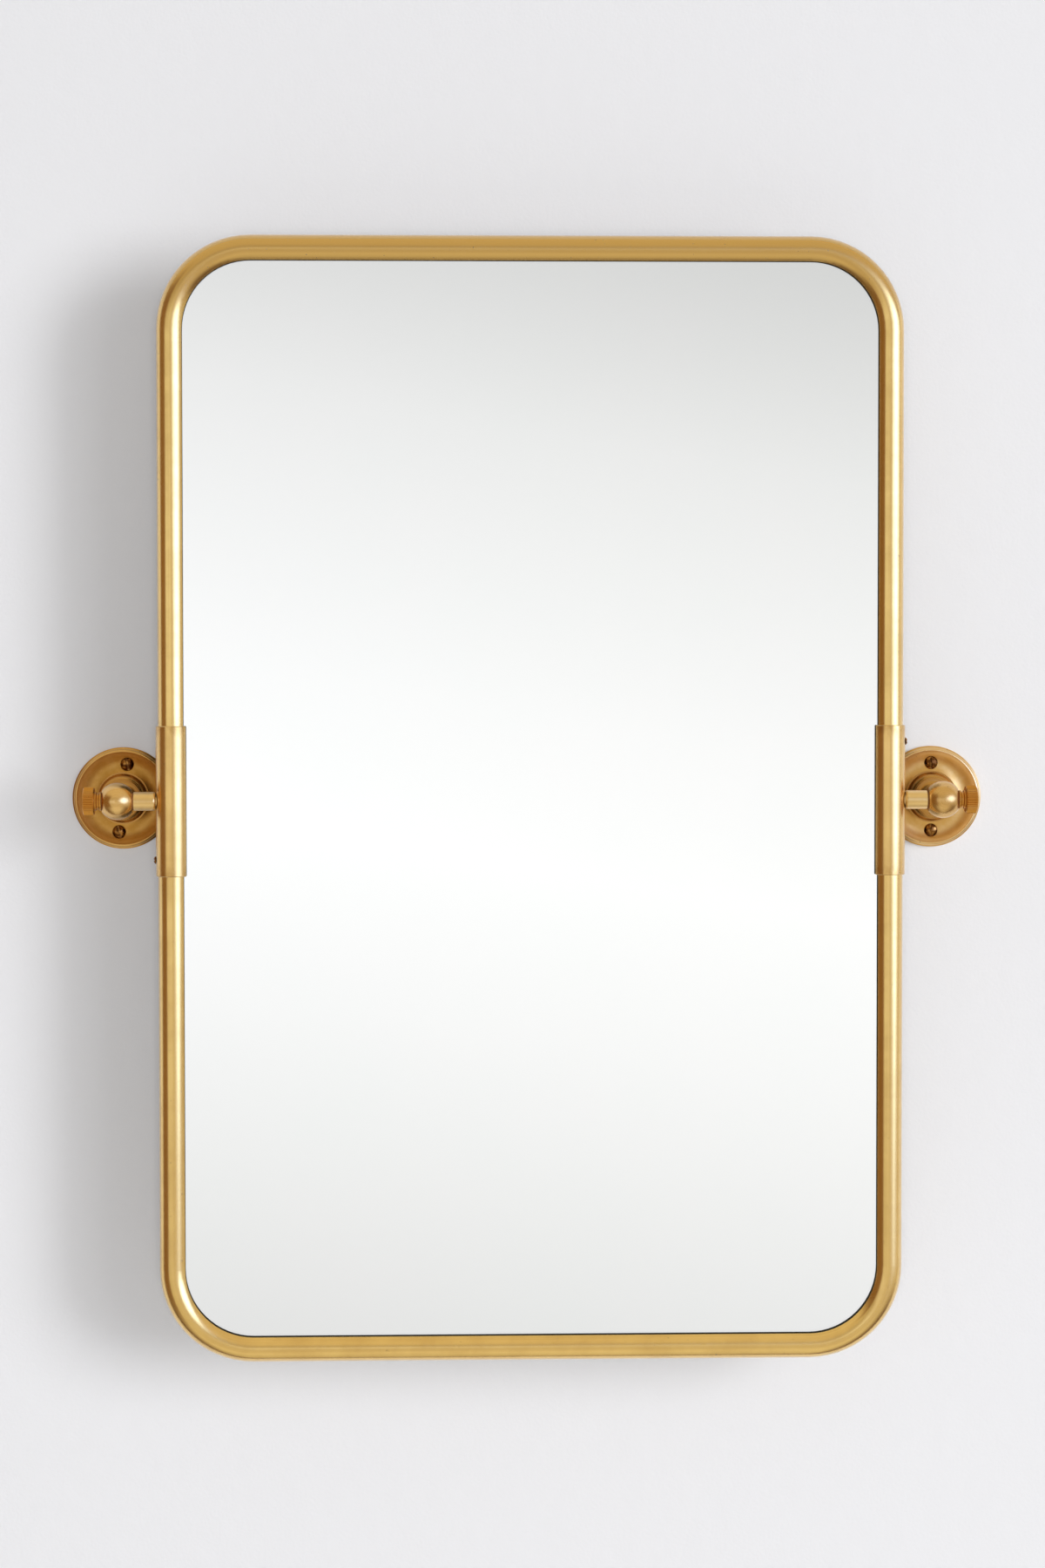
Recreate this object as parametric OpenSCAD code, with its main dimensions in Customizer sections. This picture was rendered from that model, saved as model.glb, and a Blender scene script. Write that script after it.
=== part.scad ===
// Pivot wall mirror: a brass tube frame that tilts between two brackets on the wall.
// Millimetres. X runs to the right, Z runs up, and the wall is the plane Y = 0.
// The mirror hangs in front of the wall, at negative Y, and faces -Y.
// The origin is on the wall, halfway between the two flanges, at the height of the pivot.

/* [Frame] */
// Width of the frame over its tubes
frame_w = 505; // [300:1:900]
// Height of the frame over its tubes
frame_h = 762; // [400:1:1200]
// Outside diameter of the frame tube
tube_d = 19; // [16:0.5:24]
// Wall thickness of the frame tube
tube_wall = 1.2; // [0.8:0.1:2.5]
// Radius of each corner, at the middle of the tube
corner_r = 54; // [30:1:120]
// Gap between the ends of the two half frames, inside each sleeve
half_gap = 1; // [0.4:0.1:4]

/* [Sleeves] */
// Length of each sleeve
sleeve_len = 101.6; // [60:0.1:160]
// Wall thickness of each sleeve
sleeve_wall = 1.5; // [1:0.1:3]
// Width of the bevel at each end of a sleeve
sleeve_bevel = 0.4; // [0.1:0.1:0.8]
// Distance from the sleeve screw to the sleeve's end
sleeve_screw_end = 11; // [6:0.5:20]
// Diameter of the sleeve screw's head
sleeve_screw_head_d = 5.2; // [4:0.1:8]
// Height of the sleeve screw's head
sleeve_screw_head_h = 1.6; // [1:0.1:3]
// Diameter of the sleeve screw's shank
sleeve_screw_d = 3; // [2:0.1:3.6]
// How far the sleeve screw stands inside the tube
sleeve_screw_past = 2; // [0.5:0.1:4]

/* [Mirror plate] */
// Thickness of the mirror glass
glass_t = 5; // [3:0.5:6]
// Distance from the face of the glass back to the middle of the tube
glass_ahead = 5.4; // [4.5:0.1:6]
// Thickness of the backing board
board_t = 4; // [3:0.5:6]
// How far the glass and the board reach into the frame's slot
plate_lap = 1; // [0.6:0.05:1.2]

/* [Pivot] */
// Distance from the wall to the pivot axis
pivot_out = 60; // [45:0.5:90]
// Length of each arm, from the sleeve to the friction washer
arm_len = 15.2; // [12:0.1:40]
// Diameter of each arm
arm_d = 12.7; // [11:0.1:16]
// Radius on the arm's edge at the sleeve
arm_round = 1.8; // [0.5:0.1:2.5]
// Diameter of the arm's spigot, which is brazed into the sleeve
spigot_d = 8; // [6:0.1:9]
// Metal left between the arm's tapped hole and the sleeve
thread_floor = 3; // [2:0.1:6]
// Space left in front of the thumb screw's tip
thread_tip_gap = 1; // [0.4:0.1:2]
// Diameter of the ball on each post
ball_d = 25.4; // [22:0.1:32]
// Depth of the flat that is cut on each side of the ball
ball_cut = 2.7; // [2.3:0.1:4]
// Thickness of each washer beside the ball
washer_t = 0.8; // [0.5:0.1:1.5]
// Diameter of each washer beside the ball
washer_d = 12; // [10:0.1:13]

/* [Thumb screws] */
// Diameter of the screw that goes through the ball
shank_d = 6; // [4:0.1:7]
// Diameter of the knurled head
knob_d = 19; // [15:0.1:26]
// Length of the knurled head
knob_len = 8.2; // [6:0.1:14]
// Number of ridges on the knurled head
knob_ridges = 40; // [24:1:60]
// Depth of the grooves between the ridges
knob_groove = 0.55; // [0.3:0.05:0.8]
// Bevel at each end of the knurled head
knob_bevel = 0.8; // [0.3:0.1:1.2]
// Diameter of the plain collar between the head and the ball
collar_d = 12.6; // [11:0.1:15]
// Length of the plain collar
collar_len = 4.4; // [3.5:0.1:8]
// Depth of the groove that divides the collar into two rings
collar_groove = 0.9; // [0.4:0.1:1.5]

/* [Wall flanges] */
// Diameter of each wall flange
flange_d = 70; // [64:0.5:90]
// Height of the flange's rim above the wall
flange_h = 6.5; // [5.5:0.1:9]
// Thickness of the flange at the bottom of its dish
flange_floor = 4; // [3.8:0.1:5]
// Height of the step round the flange's edge
flange_step_h = 2.4; // [1:0.1:3]
// Width of the step round the flange's edge
flange_step_w = 1.2; // [0.5:0.1:2]
// Radius of the rounded rim
flange_round = 1.8; // [0.8:0.1:2]
// Diameter of the circle through the two wall screws
screw_circle_d = 47; // [46:0.5:50]
// Turn of the left flange on the wall, clockwise from the front
left_turn = 7; // [-45:1:45]

/* [Posts] */
// Diameter of the post's foot
foot_d = 36; // [32:0.5:36]
// Height of the plain edge of the foot
foot_edge = 1; // [0.5:0.1:2]
// Height of the hollow flare above the foot's edge
flare_h = 8; // [5:0.1:14]
// Diameter of the ring above the flare
ring_d = 27; // [24:0.1:29]
// Height of the ring above the flare
ring_h = 3; // [2:0.1:5]
// Diameter of the neck under the ball
neck_d = 15; // [12:0.1:18]
// Radius of the hollow between the ring and the neck
neck_cove = 4.5; // [2:0.1:5]
// Diameter of the screw that holds the post to the flange
post_screw_d = 6; // [4:0.1:8]
// Diameter of that screw's head
post_screw_head_d = 10; // [9:0.1:14]
// Height of that screw's head
post_screw_head_h = 2.8; // [1.5:0.1:3]
// How far that screw goes into the post
post_screw_in = 14; // [8:0.5:20]

/* [Wall screws] */
// Diameter of the wall screw's head
wall_screw_head_d = 8.8; // [7:0.1:10]
// Height of the dome on the wall screw's head
wall_screw_dome = 1.3; // [0.6:0.1:2]
// Diameter of the wall screw's plain shank, inside the flange
wall_screw_shank_d = 4.4; // [3:0.1:5]
// Diameter of the wall screw's thread, behind the flange
wall_screw_thread_d = 4; // [2.5:0.1:4.8]
// How far the wall screw reaches into the wall
wall_screw_in = 32; // [20:1:60]
// Width of the slot in the wall screw's head
wall_screw_slot = 1.4; // [0.8:0.1:1.8]
// Lean of the slots on the left flange, anticlockwise from the front
left_slot_lean = 14; // [-90:1:90]

/* [Hidden] */

$fn = 96;

LEFT = -1;
RIGHT = 1;

// Small clearances
slip = 0.05; // round a shank in its hole, or a tube in its sleeve
edge_clear = 0.3; // between the plate's edge and the bottom of the frame's slot
head_clear = 0.2; // round and over the head of the post screw
past = 1; // how far a cutter runs past the face that it opens

// Frame
tube_r = tube_d / 2;
bore_r = tube_r - tube_wall;
leg_x = frame_w / 2 - tube_r;
rail_z = frame_h / 2 - tube_r;
bend_x = leg_x - corner_r;
bend_z = rail_z - corner_r;

// Sleeves: each is drawn round its own leg
sleeve_bore_r = tube_r + slip;
sleeve_r = tube_r + sleeve_wall;
sleeve_screw_z = sleeve_len / 2 - sleeve_screw_end;

// Mirror plate, of glass and board: depths are counted from the pivot axis towards the wall
slot_mouth = sqrt(pow(tube_r, 2) - pow(glass_ahead, 2));
plate_in = slot_mouth - plate_lap;
plate_half_w = leg_x - plate_in;
plate_half_h = rail_z - plate_in;
plate_corner_r = corner_r - plate_in;
glass_back = glass_t - glass_ahead;
board_back = glass_back + board_t;

// Pivot: each arm starts on the sleeve's outer side
arm_x = frame_w / 2 + sleeve_wall;
arm_end = arm_x + arm_len;
ball_r = ball_d / 2;
ball_flat = ball_r - ball_cut;
pivot_x = arm_end + washer_t + ball_flat;
shank_r = shank_d / 2;
shank_bore_r = shank_r + slip;
thread_depth = arm_len - thread_floor;

// Thumb screws: drawn along the pivot axis, outwards from the ball's centre
collar_start = ball_flat + washer_t;
knob_start = collar_start + collar_len;
knob_end = knob_start + knob_len;
shank_tip = -(ball_flat + washer_t + thread_depth - thread_tip_gap);
tip_bevel = 0.6;
knob_dome = 0.5;

// Wall flanges: the dish is an arc from the rim, through its low point, to the post's foot
rim_r = flange_d / 2 - flange_step_w;
crest_r = rim_r - flange_round;
screw_circle_r = screw_circle_d / 2;
dish_rise = flange_h - flange_floor;
dish_r = (pow(crest_r - screw_circle_r, 2) + pow(dish_rise, 2)) / (2 * dish_rise);
seat_r = foot_d / 2;
seat_h = flange_floor + dish_r - sqrt(pow(dish_r, 2) - pow(screw_circle_r - seat_r, 2));
dish_sweep = asin((crest_r - screw_circle_r) / dish_r);
seat_sweep = asin((screw_circle_r - seat_r) / dish_r);

// Posts
flare_start = seat_h + foot_edge;
ring_start = flare_start + flare_h;
ring_end = ring_start + ring_h;
ring_r = ring_d / 2;
neck_r = neck_d / 2;
flare_in = ring_r - 1.2;
ring_round = 0.7;
post_socket_r = 2.2;
post_socket_h = 1.6;

// Wall screws
wall_shank_r = wall_screw_shank_d / 2;
wall_head_r = wall_screw_head_d / 2;
wall_hole_r = wall_shank_r + 0.2;
wall_mouth_r = wall_head_r + 0.35;
wall_head_h = flange_floor - (wall_mouth_r - wall_head_r);
wall_thread_start = 0.3;
wall_tip = 4;

// Colours
brass = [0.80, 0.62, 0.33];
deep_brass = [0.69, 0.49, 0.24];
steel = [0.62, 0.62, 0.64];
fibre = [0.13, 0.12, 0.11];
silver = [0.90, 0.92, 0.93];
board = [0.16, 0.14, 0.13];

// Points along an arc about a centre, from one angle to another
function arc(centre, r, from, to, steps) = [
    for (i = [0:steps])
        let (a = from + (to - from) * i / steps)
        centre + r * [cos(a), sin(a)]
];

// Points along a quarter ellipse that falls and flattens, from one corner to the other
function hollow(from, to, steps) = [
    for (i = [0:steps])
        let (a = 90 * i / steps)
        [from[0] + (to[0] - from[0]) * (1 - cos(a)), from[1] + (to[1] - from[1]) * sin(a)]
];

// Draws for the right side. The left side is the same, turned half round on the wall.
module on_side(side) {
    if (side == RIGHT) children();
    else rotate([0, 180, 0]) children();
}

// Moves a piece drawn upwards from the floor so that it stands out of the wall at a bracket
module at_bracket() {
    translate([pivot_x, 0, 0])
        rotate([90, 0, 0])
            children();
}

// Moves a piece drawn upwards from the floor onto the pivot axis, pointing outwards
module along_pivot() {
    translate([pivot_x, -pivot_out, 0])
        rotate([0, 90, 0])
            children();
}

// Flat plate with rounded corners, between two depths behind the pivot axis
module plate(front, back, grow = 0) {
    half_w = plate_half_w + grow;
    half_h = plate_half_h + grow;
    r = plate_corner_r + grow;
    translate([0, back - pivot_out, 0])
        rotate([90, 0, 0])
            linear_extrude(back - front) {
                square([2 * (half_w - r), 2 * half_h], center = true);
                square([2 * half_w, 2 * (half_h - r)], center = true);
                for (x = [-1, 1], z = [-1, 1])
                    translate([x * (half_w - r), z * (half_h - r)])
                        circle(r);
            }
}

// Cuts the slot along the frame's inner side that holds the glass and the board
module cut_slot() {
    difference() {
        children();
        plate(-glass_ahead, board_back, edge_clear);
    }
}

// Half of the frame, as a solid rod of one radius: two legs, two bends and a rail
module half_frame_rod(r, leg_end) {
    for (side = [-1, 1]) {
        translate([side * leg_x, 0, leg_end])
            cylinder(r = r, h = bend_z - leg_end);
        translate([side * bend_x, 0, bend_z])
            rotate([90, 0, side > 0 ? 0 : 180])
                rotate_extrude(angle = 90)
                    translate([corner_r, 0])
                        circle(r);
    }
    translate([-bend_x, 0, rail_z])
        rotate([0, 90, 0])
            cylinder(r = r, h = 2 * bend_x);
}

// Half of the frame as a slotted tube, with the tapped hole for the sleeve screw in its right leg
module half_frame() {
    cut_slot()
        translate([0, -pivot_out, 0])
            difference() {
                half_frame_rod(tube_r, half_gap / 2);
                half_frame_rod(bore_r, half_gap / 2 - past);
                translate([leg_x, 0, sleeve_screw_z])
                    rotate([0, 90, 0])
                        cylinder(r = sleeve_screw_d / 2 + slip, h = tube_r + past, $fn = 32);
            }
}

module frame_upper_tube() {
    color(brass)
        half_frame();
}

module frame_lower_tube() {
    color(brass)
        rotate([0, 180, 0])
            half_frame();
}

// Sleeve over the ends of the two half frames, with holes for the arm and for its screw
module sleeve(side) {
    half = sleeve_len / 2;
    color(brass)
        on_side(side)
            cut_slot()
                translate([leg_x, -pivot_out, 0])
                    difference() {
                        rotate_extrude()
                            polygon([
                                [sleeve_bore_r, -half],
                                [sleeve_r - sleeve_bevel, -half],
                                [sleeve_r, -half + sleeve_bevel],
                                [sleeve_r, half - sleeve_bevel],
                                [sleeve_r - sleeve_bevel, half],
                                [sleeve_bore_r, half]
                            ]);
                        rotate([0, 90, 0])
                            cylinder(r = spigot_d / 2 + slip, h = sleeve_r + past);
                        translate([0, 0, sleeve_screw_z])
                            rotate([0, 90, 0])
                                cylinder(r = sleeve_screw_d / 2 + slip, h = sleeve_r + past, $fn = 32);
                    }
}

// Round-headed screw that ties a sleeve to the tube inside it
module sleeve_screw(side) {
    head_r = sleeve_screw_head_d / 2;
    shank_top = sleeve_wall + tube_wall + sleeve_screw_past;
    slot_w = sleeve_screw_head_h / 2;
    color(deep_brass)
        on_side(side)
            translate([arm_x, -pivot_out, sleeve_screw_z])
                rotate([0, 90, 0])
                    difference() {
                        union() {
                            rotate_extrude($fn = 48)
                                polygon(concat(
                                    [[0, 0]],
                                    hollow([head_r, 0], [0, sleeve_screw_head_h], 8)
                                ));
                            translate([0, 0, -shank_top])
                                cylinder(d = sleeve_screw_d, h = shank_top, $fn = 32);
                        }
                        translate([0, 0, sleeve_screw_head_h])
                            cube([slot_w, sleeve_screw_head_d + past, sleeve_screw_head_h], center = true);
                    }
}

// Turned arm, brazed into the sleeve, with a tapped hole for the thumb screw in its end
module arm(side) {
    spigot_len = sleeve_wall - slip;
    arm_r = arm_d / 2;
    end_bevel = 0.4;
    color(brass)
        on_side(side)
            translate([arm_x, -pivot_out, 0])
                rotate([0, 90, 0])
                    difference() {
                        rotate_extrude()
                            polygon(concat(
                                [[0, -spigot_len], [spigot_d / 2, -spigot_len], [spigot_d / 2, 0]],
                                arc([arm_r - arm_round, arm_round], arm_round, -90, 0, 6),
                                [[arm_r, arm_len - end_bevel], [arm_r - end_bevel, arm_len], [0, arm_len]]
                            ));
                        translate([0, 0, thread_floor])
                            cylinder(r = shank_bore_r, h = thread_depth + past);
                    }
}

// Flat washer on the thumb screw's shank, starting at a distance from the ball's centre
module washer(side, start) {
    on_side(side)
        along_pivot()
            translate([0, 0, start])
                difference() {
                    cylinder(d = washer_d, h = washer_t);
                    translate([0, 0, -past])
                        cylinder(r = shank_bore_r, h = washer_t + 2 * past);
                }
}

// Fibre washer between the ball and the arm: it lets the mirror tilt without galling
module friction_washer(side) {
    color(fibre)
        washer(side, -ball_flat - washer_t);
}

// Washer under the thumb screw's collar
module clamp_washer(side) {
    color(fibre)
        washer(side, ball_flat);
}

// Screw with a knurled head, which goes through the ball and draws the arm against it
module thumb_screw(side) {
    knob_r = knob_d / 2;
    collar_r = collar_d / 2;
    ring_w = collar_len / 4;
    step = 360 / knob_ridges;
    color(deep_brass)
        on_side(side)
            along_pivot() {
                rotate_extrude()
                    polygon([
                        [0, shank_tip],
                        [shank_r - tip_bevel, shank_tip],
                        [shank_r, shank_tip + tip_bevel],
                        [shank_r, collar_start],
                        [collar_r, collar_start],
                        [collar_r, collar_start + ring_w],
                        [collar_r - collar_groove, collar_start + 1.5 * ring_w],
                        [collar_r - collar_groove, collar_start + 2.5 * ring_w],
                        [collar_r, collar_start + 3 * ring_w],
                        [collar_r, knob_start],
                        [0, knob_start]
                    ]);
                intersection() {
                    translate([0, 0, knob_start - past])
                        linear_extrude(knob_len + 2 * past)
                            polygon([
                                for (i = [0:knob_ridges - 1], half = [0, 1])
                                    let (a = step * (i + half / 2), r = knob_r - half * knob_groove)
                                    r * [cos(a), sin(a)]
                            ]);
                    rotate_extrude()
                        polygon([
                            [0, knob_start],
                            [knob_r - knob_bevel, knob_start],
                            [knob_r + past, knob_start + knob_bevel + past],
                            [knob_r + past, knob_end - knob_dome - knob_bevel - past],
                            [knob_r - knob_bevel, knob_end - knob_dome],
                            [knob_r / 2, knob_end - knob_dome / 4],
                            [0, knob_end]
                        ]);
                }
            }
}

// Cast and turned flange: a stepped edge, a rounded rim and a dish round the post's foot
module flange(side) {
    color(deep_brass)
        on_side(side)
            at_bracket()
                rotate([0, 0, side == LEFT ? -left_turn : 0])
                    difference() {
                        rotate_extrude()
                            polygon(concat(
                                [[0, 0], [flange_d / 2, 0], [flange_d / 2, flange_step_h]],
                                [[rim_r, flange_step_h + flange_step_w / 2]],
                                arc([crest_r, flange_h - flange_round], flange_round, 0, 90, 8),
                                arc(
                                    [screw_circle_r, flange_floor + dish_r],
                                    dish_r, dish_sweep - 90, -seat_sweep - 90, 16
                                ),
                                [[0, seat_h]]
                            ));
                        translate([0, 0, -past])
                            cylinder(r = post_screw_d / 2 + slip, h = seat_h + 2 * past);
                        translate([0, 0, -past])
                            cylinder(
                                r = post_screw_head_d / 2 + head_clear,
                                h = post_screw_head_h + head_clear + past
                            );
                        for (turn = [0, 180])
                            rotate([0, 0, turn])
                                translate([0, screw_circle_r, 0])
                                    wall_screw_hole();
                    }
}

// Countersunk hole through the flange
module wall_screw_hole() {
    cone_h = wall_mouth_r - wall_hole_r;
    translate([0, 0, -past])
        cylinder(r = wall_hole_r, h = flange_h + past, $fn = 48);
    translate([0, 0, flange_floor - cone_h])
        cylinder(r1 = wall_hole_r, r2 = wall_mouth_r, h = cone_h, $fn = 48);
    translate([0, 0, flange_floor])
        cylinder(r = wall_mouth_r, h = flange_h, $fn = 48);
}

// Slotted screw with a domed, countersunk head
module wall_screw() {
    thread_r = wall_screw_thread_d / 2;
    cone_h = wall_head_r - wall_shank_r;
    dome_r = (pow(wall_head_r, 2) + pow(wall_screw_dome, 2)) / (2 * wall_screw_dome);
    dome_sweep = asin(wall_head_r / dome_r);
    slot_floor = wall_head_h - 0.4;
    difference() {
        rotate_extrude($fn = 48)
            polygon(concat(
                [
                    [0, -wall_screw_in],
                    [thread_r, wall_tip - wall_screw_in],
                    [thread_r, -wall_thread_start],
                    [wall_shank_r, 0],
                    [wall_shank_r, wall_head_h - cone_h],
                    [wall_head_r, wall_head_h]
                ],
                arc([0, wall_head_h + wall_screw_dome - dome_r], dome_r, 90 - dome_sweep, 90, 8)
            ));
        translate([-wall_screw_slot / 2, -wall_head_r - past, slot_floor])
            cube([wall_screw_slot, 2 * (wall_head_r + past), wall_screw_dome + past]);
    }
}

module wall_screws(side) {
    pattern_turn = side == LEFT ? -left_turn : 0;
    slot_turn = side == LEFT ? left_slot_lean : 0;
    color(deep_brass)
        on_side(side)
            at_bracket()
                for (turn = [0, 180])
                    rotate([0, 0, turn + pattern_turn])
                        translate([0, screw_circle_r, 0])
                            rotate([0, 0, slot_turn - pattern_turn])
                                wall_screw();
}

// Turned post: foot, hollow flare, ring, neck and ball, with the pivot hole across the ball
module post(side) {
    color(brass)
        on_side(side)
            at_bracket()
                difference() {
                    union() {
                        rotate_extrude()
                            polygon(concat(
                                [[0, seat_h], [seat_r, seat_h], [seat_r, flare_start]],
                                hollow([seat_r - foot_edge, flare_start], [flare_in, ring_start], 10),
                                arc([ring_r - ring_round, ring_start + ring_round], ring_round, -90, 0, 4),
                                arc([ring_r - ring_round, ring_end - ring_round], ring_round, 0, 90, 4),
                                arc([neck_r + neck_cove, ring_end + neck_cove], neck_cove, 270, 180, 8),
                                [[neck_r, pivot_out], [0, pivot_out]]
                            ));
                        translate([0, 0, pivot_out])
                            sphere(ball_r);
                    }
                    for (x = [-1, 1])
                        translate([x * (ball_flat + ball_r), 0, pivot_out])
                            cube(2 * ball_r, center = true);
                    translate([-ball_d, 0, pivot_out])
                        rotate([0, 90, 0])
                            cylinder(r = shank_bore_r, h = 2 * ball_d);
                    translate([0, 0, seat_h - past])
                        cylinder(r = post_screw_d / 2 + slip, h = post_screw_in + past);
                }
}

// Socket-headed screw from the back of the flange into the post
module post_screw(side) {
    head_top = post_screw_head_h;
    color(steel)
        on_side(side)
            at_bracket()
                difference() {
                    union() {
                        cylinder(d = post_screw_head_d, h = post_screw_head_h);
                        cylinder(d = post_screw_d, h = seat_h + post_screw_in - head_clear);
                    }
                    translate([0, 0, -past])
                        cylinder(r = post_socket_r, h = post_socket_h + past, $fn = 6);
                }
}

module mirror_glass() {
    color(silver)
        plate(-glass_ahead, glass_back);
}

// Board bonded to the back of the glass
module backing_board() {
    color(board)
        plate(glass_back, board_back);
}

flange(LEFT);  // left_flange
flange(RIGHT);  // right_flange
post(LEFT);  // left_post
post(RIGHT);  // right_post
post_screw(LEFT);  // left_post_screw
post_screw(RIGHT);  // right_post_screw
wall_screws(LEFT);  // left_wall_screws
wall_screws(RIGHT);  // right_wall_screws
frame_upper_tube();
frame_lower_tube();
sleeve(LEFT);  // left_sleeve
sleeve(RIGHT);  // right_sleeve
sleeve_screw(LEFT);  // left_sleeve_screw
sleeve_screw(RIGHT);  // right_sleeve_screw
arm(LEFT);  // left_arm
arm(RIGHT);  // right_arm
friction_washer(LEFT);  // left_friction_washer
friction_washer(RIGHT);  // right_friction_washer
clamp_washer(LEFT);  // left_clamp_washer
clamp_washer(RIGHT);  // right_clamp_washer
thumb_screw(LEFT);  // left_thumb_screw
thumb_screw(RIGHT);  // right_thumb_screw
mirror_glass();
backing_board();
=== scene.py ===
"""Pivot wall mirror: a brass tube frame that tilts between two brackets on a painted wall."""

import math

import bpy
from mathutils import Matrix, Vector


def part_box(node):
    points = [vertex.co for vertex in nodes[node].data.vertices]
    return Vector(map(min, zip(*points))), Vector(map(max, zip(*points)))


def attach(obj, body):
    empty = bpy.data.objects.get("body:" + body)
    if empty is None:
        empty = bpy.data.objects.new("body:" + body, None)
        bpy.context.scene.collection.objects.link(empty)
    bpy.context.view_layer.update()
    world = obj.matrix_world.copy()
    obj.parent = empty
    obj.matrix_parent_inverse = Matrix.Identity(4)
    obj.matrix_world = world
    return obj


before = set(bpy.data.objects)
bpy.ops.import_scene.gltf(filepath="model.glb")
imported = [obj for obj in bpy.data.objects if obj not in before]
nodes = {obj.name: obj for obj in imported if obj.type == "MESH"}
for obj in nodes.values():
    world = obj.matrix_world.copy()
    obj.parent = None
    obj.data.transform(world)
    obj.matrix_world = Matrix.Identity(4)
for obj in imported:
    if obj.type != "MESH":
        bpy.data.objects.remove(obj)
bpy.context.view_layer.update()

# ---------------------------------------------------------------------------
# Wall flanges: cast brass discs, turned on a lathe, with a stepped edge, a rounded
# rim and a shallow dish round the post's foot. The rim is rubbed bright and the dish
# has aged to a deeper tone. The right flange is painted paler than the left, as painted
# light: it stands in the key light, and the left one in the mirror's shadow.
# ---------------------------------------------------------------------------

MM = 0.001
SIDES = ((-1, "left"), (1, "right"))
PIVOT_X = (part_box("right_flange")[0].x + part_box("right_flange")[1].x) / 2 / MM
FLANGE_RIM_RADIUS = 31.5
FLANGE_RIM_WIDTH = 2.2


class Value:
    """A number that a material's nodes work out, on which Python's operators add Math nodes."""

    def __init__(self, finish, socket):
        self.finish = finish
        self.socket = socket

    def math(self, operation, *terms):
        return self.finish.node("ShaderNodeMath", {"operation": operation}, dict(enumerate(terms)))

    def __add__(self, other):
        return self.math("ADD", self, other)

    def __sub__(self, other):
        return self.math("SUBTRACT", self, other)

    def __mul__(self, other):
        return self.math("MULTIPLY", self, other)

    def __truediv__(self, other):
        return self.math("DIVIDE", self, other)

    def __pow__(self, other):
        return self.math("POWER", self, other)

    def __rsub__(self, other):
        return self.math("SUBTRACT", other, self)

    def __rtruediv__(self, other):
        return self.math("DIVIDE", other, self)

    def __abs__(self):
        return self.math("ABSOLUTE", self)

    __radd__ = __add__
    __rmul__ = __mul__


def sqrt(value):
    return value.math("SQRT", value)


def smoothstep(value, low, high):
    """0 below low and 1 above high, or the other way round where low is the larger."""
    settings = {"interpolation_type": "SMOOTHSTEP", "clamp": True}
    inputs = {"Value": value, "From Min": low, "From Max": high}
    return value.finish.node("ShaderNodeMapRange", settings, inputs)


class Finish:
    """A material, or the world, and the nodes that make it."""

    def __init__(self, owner):
        owner.use_nodes = True
        self.owner = owner
        self.tree = owner.node_tree
        self.tree.nodes.clear()

    def node(self, kind, settings, inputs, output=0):
        """Adds a node: first its settings, then the values or links of its sockets."""
        made = self.tree.nodes.new(kind)
        for key, value in settings.items():
            if key == "stops":
                ramp = made.color_ramp
                while len(ramp.elements) < len(value):
                    ramp.elements.new(1.0)
                for element, (place, colour) in zip(ramp.elements, value):
                    element.position = place
                    element.color = colour
            else:
                setattr(made, key, value)
        for key, value in inputs.items():
            if isinstance(value, Value):
                self.tree.links.new(value.socket, made.inputs[key])
            else:
                made.inputs[key].default_value = value
        return Value(self, made.outputs[output]) if made.outputs else None

    def split(self, vector):
        return [self.node("ShaderNodeSeparateXYZ", {}, {0: vector}, i) for i in range(3)]

    def vector(self, x, y, z):
        return self.node("ShaderNodeCombineXYZ", {}, {0: x, 1: y, 2: z})

    def place(self):
        """The place on the piece in the row frame, in millimetres, as three values."""
        where = self.node("ShaderNodeTexCoord", {}, {}, "Object")
        return [axis / MM for axis in self.split(where)]

    def noise(self, where, scale, detail=2.0, roughness=0.5):
        inputs = {"Vector": where, "Scale": scale, "Detail": detail, "Roughness": roughness}
        return self.node("ShaderNodeTexNoise", {}, inputs, 0)

    def mix(self, factor, first, second):
        return self.node("ShaderNodeMix", {"data_type": "RGBA"}, {0: factor, 6: first, 7: second}, 2)

    def crevice(self, reach):
        """0 in the open and 1 deep in a groove, as seen over a reach in millimetres."""
        inputs = {"Distance": reach * MM}
        return 1.0 - self.node("ShaderNodeAmbientOcclusion", {"samples": 6}, inputs, "AO")


def material(name):
    return Finish(bpy.data.materials.new(name))


def sheen(finish, constants, changing, bump=None):
    """Ends a material in one Principled shader: constants on its sockets, and links for what changes."""
    if bump is not None:
        inputs = {"Height": bump, "Distance": MM, "Strength": 1.0}
        changing = {**changing, "Normal": finish.node("ShaderNodeBump", {}, inputs)}
    shader = finish.node("ShaderNodeBsdfPrincipled", {}, {**constants, **changing})
    finish.node("ShaderNodeOutputMaterial", {}, {"Surface": shader})
    return finish.owner


def rgb(red, green, blue):
    """A colour as a screen shows it, 0 to 255, turned into the light that a shader works with."""
    shown = [channel / 255 for channel in (red, green, blue)]
    light = [c / 12.92 if c <= 0.04045 else ((c + 0.055) / 1.055) ** 2.4 for c in shown]
    return (*light, 1.0)


# A dark brown, both for specks of dirt and for painted shade in grooves and gaps between parts.
GRIME_AND_SHADE = rgb(44, 24, 9)
BRASS_SPECULAR = 0.15


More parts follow.
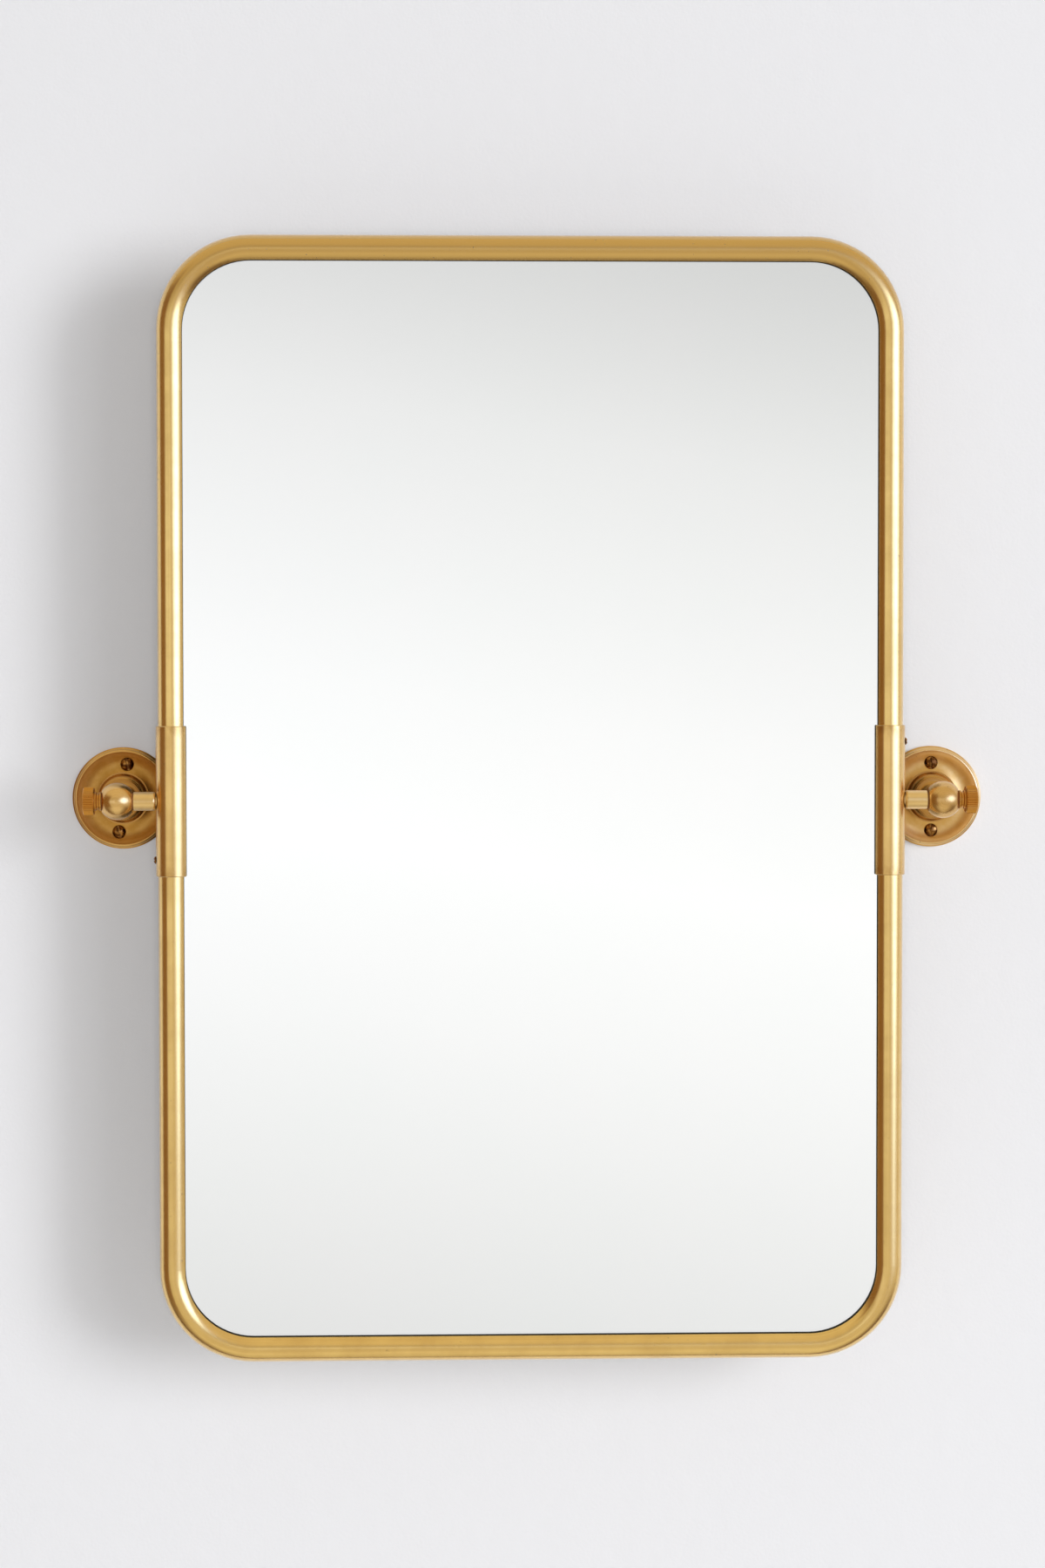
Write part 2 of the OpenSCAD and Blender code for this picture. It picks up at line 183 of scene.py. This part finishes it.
def brass(
    name, pale, deep, roughness, grain, deepened=None, grime_and_shade=0.0, reach=2.5, lines=0.004, wobble=0.012, coat=()
):
    """Brushed and aged brass, bare or under a coat of lacquer.

    grain turns a place in millimetres into one stretched along the brushing. deepened gives how far the
    surface has gone to the deep tone by its place; on the frame's top rail that is painted shade.
    grime_and_shade is how dark the grooves and the gaps between parts are made, by ambient occlusion:
    partly dirt, partly painted shade. reach is how wide a groove can be and still darken. lines and
    wobble are the heights of the brushing and of the slow waves in the metal. All three lengths are in
    millimetres.
    """
    finish = material(name)
    x, y, z = finish.place()
    where = finish.vector(x, y, z)
    brushed = grain(finish, x, y, z)
    fine = finish.noise(brushed, scale=1.0, detail=3.0, roughness=0.6)
    broad = finish.noise(brushed, scale=0.22)
    cloud = finish.noise(where, scale=0.05, detail=3.0, roughness=0.55)
    spots = finish.noise(where, scale=0.42)
    deep_share = smoothstep(cloud * 0.45 + broad * 0.35 + fine * 0.2, 0.36, 0.66) * 0.5
    if deepened is not None:
        deep_share = deep_share.math("MAXIMUM", deep_share, deepened(finish, x, y, z))
    colour = finish.mix(deep_share, pale, deep)
    colour = finish.mix(smoothstep(spots, 0.70, 0.78) * 0.35, colour, GRIME_AND_SHADE)
    changing = {}
    # Painted shade, partly dirt: grooves and gaps between parts darken by ambient occlusion.
    if grime_and_shade:
        dirt_and_shade = smoothstep(finish.crevice(reach), 0.3, 0.85) * grime_and_shade
        colour = finish.mix(dirt_and_shade, colour, GRIME_AND_SHADE)
        changing["Metallic"] = 1.0 - dirt_and_shade * 0.8
    rough = roughness + (fine - 0.5) * 0.12 + (cloud - 0.5) * 0.10 + deep_share * 0.04
    waves = finish.noise(where, scale=0.09)
    height = fine * lines + waves * wobble
    changing = {**changing, "Base Color": colour, "Roughness": rough}
    constants = {"Metallic": 1.0, "Specular IOR Level": BRASS_SPECULAR, **dict(coat)}
    return sheen(finish, constants, changing, height)


def from_bracket(finish, side, x, z):
    """Distance from a bracket's axis, which stands out of the wall."""
    return sqrt((x - side * PIVOT_X) ** 2.0 + z**2.0)


def turned_at(side):
    """Grain of a piece turned about a bracket's axis: rings that change only outwards and along it."""
    rings = 2.2

    def grain(finish, x, y, z):
        return finish.vector(from_bracket(finish, side, x, z) * rings, y * rings, 0.0)

    return grain


def dish_at(side):
    """The dish and the outer edge have aged most. Only the rim between them is rubbed bright."""

    def deepened(finish, x, y, z):
        across = from_bracket(finish, side, x, z)
        mottle = finish.noise(finish.vector(x, y, z), scale=0.16, detail=3.0, roughness=0.6)
        dish = smoothstep(across, FLANGE_RIM_RADIUS, FLANGE_RIM_RADIUS - 3.0)
        rim_end = FLANGE_RIM_RADIUS + FLANGE_RIM_WIDTH
        edge = smoothstep(across, rim_end, rim_end + 1.0)
        return (dish + edge) * (0.75 + 0.25 * smoothstep(mottle, 0.3, 0.65))

    return deepened


# Painted light: the right flange's tones are paler, for the key light on it, and the left's deeper, for
# the mirror's shadow on it.
FLANGE_LIT_AND_SHADED_TONES = {
    "left": (rgb(223, 180, 114), rgb(190, 140, 68)),
    "right": (rgb(238, 204, 152), rgb(217, 170, 98)),
}
for side, name in SIDES:
    pale, deep = FLANGE_LIT_AND_SHADED_TONES[name]
    nodes[f"{name}_flange"].data.materials[0] = brass(
        f"{name}_flange_brass",
        pale,
        deep,
        roughness=0.29,
        grain=turned_at(side),
        deepened=dish_at(side),
        grime_and_shade=0.3,
    )

# ---------------------------------------------------------------------------
# Wall screws, two through each flange: slotted brass screws with domed heads.
# They have tarnished to a dark brown, and shine only where they were rubbed.
# ---------------------------------------------------------------------------


def plain_grain(finish, x, y, z):
    """The same in every direction, for a screw that isn't brushed."""
    return finish.vector(x * 1.4, y * 1.4, z * 1.4)


def tarnish(finish, x, y, z):
    patches = finish.noise(finish.vector(x, y, z), scale=0.3, detail=1.0)
    return smoothstep(patches, 0.3, 0.6)


# Their slots and the gaps round their heads darken fully: partly dirt, partly painted shade.
screw_brass = brass(
    "screw_brass",
    rgb(196, 140, 72),
    rgb(96, 56, 24),
    roughness=0.17,
    grain=plain_grain,
    deepened=tarnish,
    grime_and_shade=1.0,
    reach=1.3,
    wobble=0.08,
)
for _, name in SIDES:
    nodes[f"{name}_wall_screws"].data.materials[0] = screw_brass

# ---------------------------------------------------------------------------
# Posts. Each is turned from one brass bar: a foot, a hollow flare, a ring, a
# neck and a ball with a flat on each side. The ball is brushed soft.
# ---------------------------------------------------------------------------

FOOT_AGED_TO = -16.0
NECK_CLEAN_FROM = -30.0


def foot(finish, x, y, z):
    """The foot of a post has aged with the dish that it stands in."""
    return smoothstep(y, NECK_CLEAN_FROM, FOOT_AGED_TO)


for side, name in SIDES:
    nodes[f"{name}_post"].data.materials[0] = brass(
        f"{name}_post_brass",
        rgb(233, 193, 130),
        rgb(195, 146, 80),
        roughness=0.25,
        grain=turned_at(side),
        deepened=foot,
        grime_and_shade=0.35,
        lines=0.002,
    )

# ---------------------------------------------------------------------------
# Post screws, one from the back of each flange into its post: zinc plated
# steel, with a socket in the head. They show only from behind.
# ---------------------------------------------------------------------------

steel = material("zinc_plated_steel")
sx, sy, sz = steel.place()
spangle = steel.noise(steel.vector(sx, sy, sz), scale=0.8, roughness=0.6)
zinc = steel.mix(spangle, rgb(178, 180, 186), rgb(202, 202, 200))
# Painted shade, partly dirt: darker in the socket and in gaps, by ambient occlusion.
zinc = steel.mix(smoothstep(steel.crevice(2.0), 0.3, 0.95) * 0.7, zinc, rgb(52, 50, 48))
zinc_steel = sheen(
    steel, {"Metallic": 1.0}, {"Base Color": zinc, "Roughness": 0.32 + spangle * 0.14}, spangle * 0.01
)
for _, name in SIDES:
    nodes[f"{name}_post_screw"].data.materials[0] = zinc_steel

# ---------------------------------------------------------------------------
# The frame: two U-shaped halves of drawn brass tube, bent at the corners and
# slotted along their inner side. They are brushed lengthwise and lacquered.
# The rail at the top is painted deeper than the rest, as painted shade.
# ---------------------------------------------------------------------------

FRAME_LOW, FRAME_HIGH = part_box("frame_upper_tube")
TUBE_RADIUS = (FRAME_HIGH.y - FRAME_LOW.y) / 2 / MM
CORNER_RADIUS = 54.0
TOP_RAIL_SHADE = 0.9
BEND_X = FRAME_HIGH.x / MM - TUBE_RADIUS - CORNER_RADIUS
BEND_Z = FRAME_HIGH.z / MM - TUBE_RADIUS - CORNER_RADIUS
LACQUER = {"Coat Weight": 1.0, "Coat IOR": 1.9, "Coat Roughness": 0.3}


def along_tube(finish, x, y, z):
    """Stretched along the tube, round the corners too: it changes only across the tube."""
    past_x = (abs(x) - BEND_X).math("MAXIMUM", abs(x) - BEND_X, 0.0)
    past_z = (abs(z) - BEND_Z).math("MAXIMUM", abs(z) - BEND_Z, 0.0)
    across = sqrt(past_x**2.0 + past_z**2.0)
    return finish.vector(across * 1.6, y * 1.6, (x + z) * 0.012)


# Painted shade: the top rail is painted towards the deep tone, as the light leaves the rails darker than
# the sides.
def top_rail_shade(finish, x, y, z):
    return smoothstep(z, BEND_Z, BEND_Z + 32.0) * TOP_RAIL_SHADE


tube_brass = brass(
    "tube_brass",
    rgb(240, 200, 112),
    rgb(207, 161, 66),
    roughness=0.2,
    grain=along_tube,
    deepened=top_rail_shade,
    lines=0.006,
    coat=LACQUER,
)
for name in ("frame_upper_tube", "frame_lower_tube"):
    nodes[name].data.materials[0] = tube_brass

# ---------------------------------------------------------------------------
# Sleeves over the joints of the two halves, of thicker brass tube, and the
# small round-headed screw that ties each to one half. They are brushed
# lengthwise, and patchily deeper in tone towards their ends.
# ---------------------------------------------------------------------------

SLEEVE_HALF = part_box("left_sleeve")[1].z / MM
DARKER_END_LENGTH = 14.0


def along_z(finish, x, y, z):
    return finish.vector(x * 1.6, y * 1.6, z * 0.014)


def sleeve_ends(finish, x, y, z):
    patchy = finish.noise(finish.vector(x, y, z * 0.5), scale=0.12, detail=3.0, roughness=0.6)
    near_end = smoothstep(abs(z), SLEEVE_HALF - DARKER_END_LENGTH, SLEEVE_HALF)
    return near_end * smoothstep(patchy, 0.3, 0.62)


sleeve_brass = brass(
    "sleeve_brass",
    rgb(236, 193, 107),
    rgb(203, 155, 62),
    roughness=0.2,
    grain=along_z,
    deepened=sleeve_ends,
    grime_and_shade=0.5,
    lines=0.008,
    coat=LACQUER,
)
for _, name in SIDES:
    nodes[f"{name}_sleeve"].data.materials[0] = sleeve_brass
    nodes[f"{name}_sleeve_screw"].data.materials[0] = screw_brass

# ---------------------------------------------------------------------------
# Arms: turned brass, brazed into the sleeves and tapped at their ends for the
# thumb screws. Fine lines of polishing run along them.
# ---------------------------------------------------------------------------


def along_x(finish, x, y, z):
    return finish.vector(x * 0.02, y * 2.4, z * 2.4)


arm_brass = brass(
    "arm_brass", rgb(241, 207, 147), rgb(219, 176, 112), roughness=0.3, grain=along_x, grime_and_shade=0.35
)
for _, name in SIDES:
    nodes[f"{name}_arm"].data.materials[0] = arm_brass

# ---------------------------------------------------------------------------
# Washers of brown vulcanised fibre on both sides of each ball. They let the
# mirror tilt without the brass pieces wearing each other.
# ---------------------------------------------------------------------------

fibre = material("brown_fibre")
fx, fy, fz = fibre.place()
fibre_grain = fibre.vector(fx * 2.0, fy * 0.5, fz * 0.5)
strands = fibre.noise(fibre_grain, scale=1.2, detail=3.0, roughness=0.6)
fibre_colour = fibre.mix(strands, rgb(104, 66, 34), rgb(158, 108, 60))
brown_fibre = sheen(
    fibre, {"Specular IOR Level": 0.3}, {"Base Color": fibre_colour, "Roughness": 0.6 + strands * 0.2},
    strands * 0.03,
)
for _, name in SIDES:
    nodes[f"{name}_friction_washer"].data.materials[0] = brown_fibre
    nodes[f"{name}_clamp_washer"].data.materials[0] = brown_fibre

# ---------------------------------------------------------------------------
# Thumb screws: brass, with a straight knurled head and a collar of two rings.
# The grooves are dark and the ridges clear: partly dirt, partly painted shade.
# ---------------------------------------------------------------------------

knob_brass = brass(
    "knob_brass",
    rgb(208, 148, 70),
    rgb(173, 114, 48),
    roughness=0.3,
    grain=along_x,
    grime_and_shade=0.8,
    reach=1.6,
    wobble=0.0,
)
for _, name in SIDES:
    nodes[f"{name}_thumb_screw"].data.materials[0] = knob_brass

# ---------------------------------------------------------------------------
# Mirror glass: clear float glass with polished edges, silvered on its back. The
# silver is a thin sheet just inside the back face of the glass.
# ---------------------------------------------------------------------------

# In millimetres: in from the glass's edge, and in front of its back face.
SILVER_INSET = 0.4
SILVER_DEPTHS = (0.10, 0.05)
PLATE_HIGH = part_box("mirror_glass")[1]
PLATE_CORNER = CORNER_RADIUS - (FRAME_HIGH.x - PLATE_HIGH.x) / MM + TUBE_RADIUS
CORNER_STEPS = 16

glass = material("float_glass")
gx, gy, gz = glass.place()
streaks = glass.noise(glass.vector(gx, gy, gz), scale=0.01)
tint = glass.mix(streaks, rgb(252, 254, 253), rgb(254, 254, 254))
nodes["mirror_glass"].data.materials[0] = sheen(
    glass,
    {"Transmission Weight": 1.0, "IOR": 1.5, "Roughness": 0.0},
    {"Base Color": tint},
)


def rounded_outline(half_width, half_height, radius):
    """Corners of a rounded rectangle, anticlockwise as seen from the wall."""
    points = []
    for quarter, (sign_x, sign_z) in enumerate(((1, 1), (-1, 1), (-1, -1), (1, -1))):
        for step in range(CORNER_STEPS + 1):
            angle = math.pi / 2 * (quarter + step / CORNER_STEPS)
            points.append(
                (
                    sign_x * (half_width - radius) + radius * math.cos(angle),
                    sign_z * (half_height - radius) + radius * math.sin(angle),
                )
            )
    return points


outline = rounded_outline(
    PLATE_HIGH.x - SILVER_INSET * MM,
    PLATE_HIGH.z - SILVER_INSET * MM,
    (PLATE_CORNER - SILVER_INSET) * MM,
)
count = len(outline)
depths = [PLATE_HIGH.y - depth * MM for depth in SILVER_DEPTHS]
silver_mesh = bpy.data.meshes.new("silvering")
silver_mesh.from_pydata(
    [(x, depth, z) for depth in depths for x, z in outline],
    [],
    [tuple(range(count)), tuple(range(2 * count - 1, count - 1, -1))]
    + [(i, i + count, (i + 1) % count + count, (i + 1) % count) for i in range(count)],
)
silver = material("silver_coat")
tx, ty, tz = silver.place()
bloom = silver.noise(silver.vector(tx, ty, tz), scale=0.02)
silver_tone = silver.mix(bloom, (0.965, 0.967, 0.967, 1.0), (0.972, 0.972, 0.970, 1.0))
silver_mesh.materials.append(
    sheen(silver, {"Metallic": 1.0, "Roughness": 0.0}, {"Base Color": silver_tone})
)
silvering = bpy.data.objects.new("silvering", silver_mesh)
bpy.context.scene.collection.objects.link(silvering)
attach(silvering, "mirror")

# ---------------------------------------------------------------------------
# Backing board: dark coated fibreboard, bonded to the back of the glass. It
# shows only from behind.
# ---------------------------------------------------------------------------

board = material("coated_board")
bx, by, bz = board.place()
pulp = board.noise(board.vector(bx, by, bz), scale=0.9, detail=4.0, roughness=0.65)
scuff = board.noise(board.vector(bx * 0.4, by, bz), scale=0.03, detail=3.0, roughness=0.6)
board_colour = board.mix(pulp, rgb(50, 44, 39), rgb(76, 68, 60))
board_colour = board.mix(smoothstep(scuff, 0.55, 0.72) * 0.4, board_colour, rgb(104, 95, 84))
nodes["backing_board"].data.materials[0] = sheen(
    board, {"Specular IOR Level": 0.3}, {"Base Color": board_colour, "Roughness": 0.62 + pulp * 0.2},
    pulp * 0.08,
)

# ---------------------------------------------------------------------------
# The wall and the floor of the studio: plain, pale paint. The wall has a fine
# texture and takes the mirror's shadow. From behind it is clear, so that the
# back of the mirror can be seen.
# ---------------------------------------------------------------------------

WALL_HALF_WIDTH = 3.0
WALL_TOP = 2.2
FLOOR_Z = -1.4
FLOOR_DEPTH = 3.0


def sheet(name, corners, coating):
    mesh = bpy.data.meshes.new(name)
    mesh.from_pydata(corners, [], [range(len(corners))])
    mesh.materials.append(coating)
    made = bpy.data.objects.new(name, mesh)
    bpy.context.scene.collection.objects.link(made)
    return made


paint = material("wall_paint")
px, py, pz = paint.place()
on_wall = paint.vector(px, py, pz)
stipple = paint.noise(on_wall, scale=0.45)
pool = paint.noise(on_wall, scale=0.06, detail=3.0)
bump = paint.node("ShaderNodeBump", {}, {"Height": stipple * 0.12 + pool * 0.25, "Distance": MM})
painted = paint.node(
    "ShaderNodeBsdfPrincipled",
    {},
    {"Base Color": rgb(232, 233, 237), "Roughness": 0.8, "Specular IOR Level": 0.2, "Normal": bump},
)
clear = paint.node("ShaderNodeBsdfTransparent", {}, {})
# Clear to a ray that meets its back, and to every ray that follows from one that came through.
# So the lamp behind it lights the mirror's back, and only in views from there.
behind = paint.node("ShaderNodeNewGeometry", {}, {}, "Backfacing")
passed = paint.node("ShaderNodeLightPath", {}, {}, "Transparent Depth")
seen_through = behind.math("MAXIMUM", behind, passed.math("GREATER_THAN", passed, 0.5))
wall_surface = paint.node("ShaderNodeMixShader", {}, {0: seen_through, 1: painted, 2: clear})
paint.node("ShaderNodeOutputMaterial", {}, {"Surface": wall_surface})

sheet(
    "wall",
    [
        (-WALL_HALF_WIDTH, 0, FLOOR_Z),
        (WALL_HALF_WIDTH, 0, FLOOR_Z),
        (WALL_HALF_WIDTH, 0, WALL_TOP),
        (-WALL_HALF_WIDTH, 0, WALL_TOP),
    ],
    paint.owner,
)

floor_paint = material("floor_paint")
qx, qy, qz = floor_paint.place()
grit = floor_paint.noise(floor_paint.vector(qx, qy, qz), scale=0.05, detail=3.0)
floor_colour = floor_paint.mix(grit, rgb(222, 220, 214), rgb(230, 228, 223))
floor = sheet(
    "floor",
    [
        (-WALL_HALF_WIDTH, -FLOOR_DEPTH, FLOOR_Z),
        (WALL_HALF_WIDTH, -FLOOR_DEPTH, FLOOR_Z),
        (WALL_HALF_WIDTH, 0, FLOOR_Z),
        (-WALL_HALF_WIDTH, 0, FLOOR_Z),
    ],
    sheen(floor_paint, {"Roughness": 0.7, "Specular IOR Level": 0.2}, {"Base Color": floor_colour}),
)
floor.visible_glossy = False
floor.visible_transmission = False

# ---------------------------------------------------------------------------
# The light: a large soft key from the right and a fill from the front. Brass shows
# three cool soft boxes and a room with pale and dark sides. The glass shows a pale
# card. Bearings and heights are in degrees, from where the mirror faces.
# ---------------------------------------------------------------------------

ROOM_BY_HEIGHT = [
    (-90, (0.60, 0.57, 0.46)),
    (-60, (0.80, 0.77, 0.62)),
    (-40, (0.86, 0.82, 0.67)),
    (-28, (0.72, 0.67, 0.51)),
    (0, (0.68, 0.63, 0.47)),
    (14, (0.54, 0.49, 0.33)),
    (30, (0.76, 0.68, 0.47)),
    (90, (0.80, 0.72, 0.50)),
]
PALE_SIDE = (0.97, 1.0, 1.06, 1.0)  # ahead and to the left, at the height of the pivot
DARK_SIDE = (0.27, 0.15, 0.05, 1.0)  # on the left, past the pale side
LOW_SIDE = (0.20, 0.13, 0.06, 1.0)  # low on both sides
AROUND_CARD = (0.72, 0.72, 0.71, 1.0)  # what the glass shows past the card
AMBIENT = (0.220, 0.207, 0.190, 1.0)
BACKDROP = (0.84, 0.84, 0.85, 1.0)
CARD_LEAN = 0.167
CARD_BY_HEIGHT = [
    (-14.0, 0.705),
    (-10.1, 0.845),
    (-5.7, 0.995),
    (-3.0, 1.068),
    (-0.6, 1.021),
    (3.8, 0.88),
    (6.4, 0.74),
    (10.0, 0.57),
]

world = bpy.data.worlds.new("room")
bpy.context.scene.world = world
room = Finish(world)
dx, dy, dz = room.split(room.node("ShaderNodeTexCoord", {}, {}, "Generated"))
turn = room.node("ShaderNodeMath", {"operation": "ARCTAN2"}, {0: dx, 1: 0.0 - dy}) * (180 / math.pi)
rise = room.node("ShaderNodeMath", {"operation": "ARCSINE"}, {0: dz}) * (180 / math.pi)


def by_height(value, table):
    """A ramp of tones, or of greys, by a height in degrees."""
    low, high = table[0][0], table[-1][0]
    stops = []
    for height, tone in table:
        tone = tone if isinstance(tone, tuple) else (tone,) * 3
        stops.append(((height - low) / (high - low), (*tone, 1.0)))
    return room.node("ShaderNodeValToRGB", {"stops": stops}, {0: (value - low) / (high - low)})


tones = by_height(rise, ROOM_BY_HEIGHT)
pale_side = smoothstep(turn, 7.0, -5.0) * smoothstep(abs(rise), 12.0, 0.0)
tones = room.mix(pale_side, tones, PALE_SIDE)
dark_side = smoothstep(turn - abs(rise) * 0.3, -42.5, -48.5) * smoothstep(turn, -104.0, -92.0)
dark_side = dark_side * smoothstep(abs(rise), 42.0, 22.0)
tones = room.mix(dark_side, tones, DARK_SIDE)
low_side = smoothstep(abs(turn), 20.0, 80.0) * smoothstep(rise, -14.0, -36.0)
tones = room.mix(low_side, tones, LOW_SIDE)
card = by_height(rise + turn * CARD_LEAN, CARD_BY_HEIGHT)

through_glass = room.node("ShaderNodeLightPath", {}, {}, "Is Transmission Ray")
glossy = room.node("ShaderNodeLightPath", {}, {}, "Is Glossy Ray")
camera_ray = room.node("ShaderNodeLightPath", {}, {}, "Is Camera Ray")
plain = room.mix(camera_ray, AMBIENT, BACKDROP)
shown = room.mix(glossy, plain, tones)
on_card = smoothstep(abs(turn), 34.0, 24.0) * smoothstep(abs(rise), 34.0, 24.0)
shown = room.mix(through_glass, shown, room.mix(on_card, AROUND_CARD, card))
background = room.node("ShaderNodeBackground", {}, {"Color": shown, "Strength": 1.0})
room.node("ShaderNodeOutputWorld", {}, {"Surface": background})
world.cycles.sampling_method = "NONE"

COOL = (0.34, 0.50, 1.0)


def lamp(name, away, turned, raised, wide, tall, light, seen="both", tint=(1.0, 1.0, 1.0)):
    """An oval soft box, placed as seen from the middle of the mirror.

    away is its distance in metres, turned its bearing and raised its height in degrees, and wide and
    tall its spread in degrees. light is how bright it is for its size. A box seen as "matt" lights
    only matt surfaces, one seen as "bright" shows only in glossy ones, and "both" does both.
    """
    data = bpy.data.lights.new(name, "AREA")
    data.shape = "ELLIPSE"
    data.size = 2 * away * math.tan(math.radians(wide / 2))
    data.size_y = 2 * away * math.tan(math.radians(tall / 2))
    data.color = tint
    data.energy = light * math.pi * (math.pi / 4 * data.size * data.size_y)
    made = bpy.data.objects.new(name, data)
    turned, raised = math.radians(turned), math.radians(raised)
    level = away * math.cos(raised)
    place = Vector((level * math.sin(turned), -level * math.cos(turned), away * math.sin(raised)))
    made.location = place
    made.rotation_euler = (-place).to_track_quat("-Z", "Y").to_euler()
    made.visible_camera = False
    made.visible_glossy = seen != "matt"
    made.visible_transmission = seen == "both"
    made.visible_diffuse = seen != "bright"
    bpy.context.scene.collection.objects.link(made)


lamp("key", away=14.0, turned=53.0, raised=7.4, wide=18.7, tall=31.0, light=9.5, seen="matt")
lamp("key_spill", away=14.0, turned=46.1, raised=7.2, wide=33.7, tall=46.1, light=1.95, seen="matt")
lamp("front", away=8.0, turned=-2.1, raised=0.8, wide=18.8, tall=18.8, light=13.2, seen="matt")
for away, wide, light in ((13.0, 28.0, 1.5), (14.0, 52.0, 2.0), (15.0, 70.0, 1.4)):
    lamp(f"bright_{wide:.0f}", away, 46.0, 7.0, wide, 29.0, light, seen="bright", tint=COOL)
lamp("back", away=3.2, turned=168.0, raised=14.0, wide=16.0, tall=16.0, light=20.0)

# ---------------------------------------------------------------------------
# The camera, at the photograph's place: a little left of the middle and above the
# pivot, turned back to the right and slightly down. Places are in metres.
# ---------------------------------------------------------------------------

SENSOR_WIDTH = 36
PHOTO_HEIGHT = 1800
FOCAL_PIXELS = 4193.2
CAMERA_PLACE = (-0.0953, -2.531, 0.1001)
CAMERA_YAW = math.radians(2.064)
CAMERA_PITCH = math.radians(-2.06)
CAMERA_ROLL = math.radians(-0.047)

camera = bpy.data.cameras.new("camera")
camera.sensor_width = SENSOR_WIDTH
camera.lens = SENSOR_WIDTH * FOCAL_PIXELS / PHOTO_HEIGHT
eye = bpy.data.objects.new("camera", camera)
tipped = Matrix.Rotation(math.pi / 2 + CAMERA_PITCH, 4, "X")
swung = Matrix.Rotation(-CAMERA_YAW, 4, "Z")
rolled = Matrix.Rotation(CAMERA_ROLL, 4, "Z")
eye.matrix_world = Matrix.Translation(CAMERA_PLACE) @ swung @ tipped @ rolled
bpy.context.scene.collection.objects.link(eye)
bpy.context.scene.camera = eye
bpy.context.scene.view_settings.view_transform = "Standard"
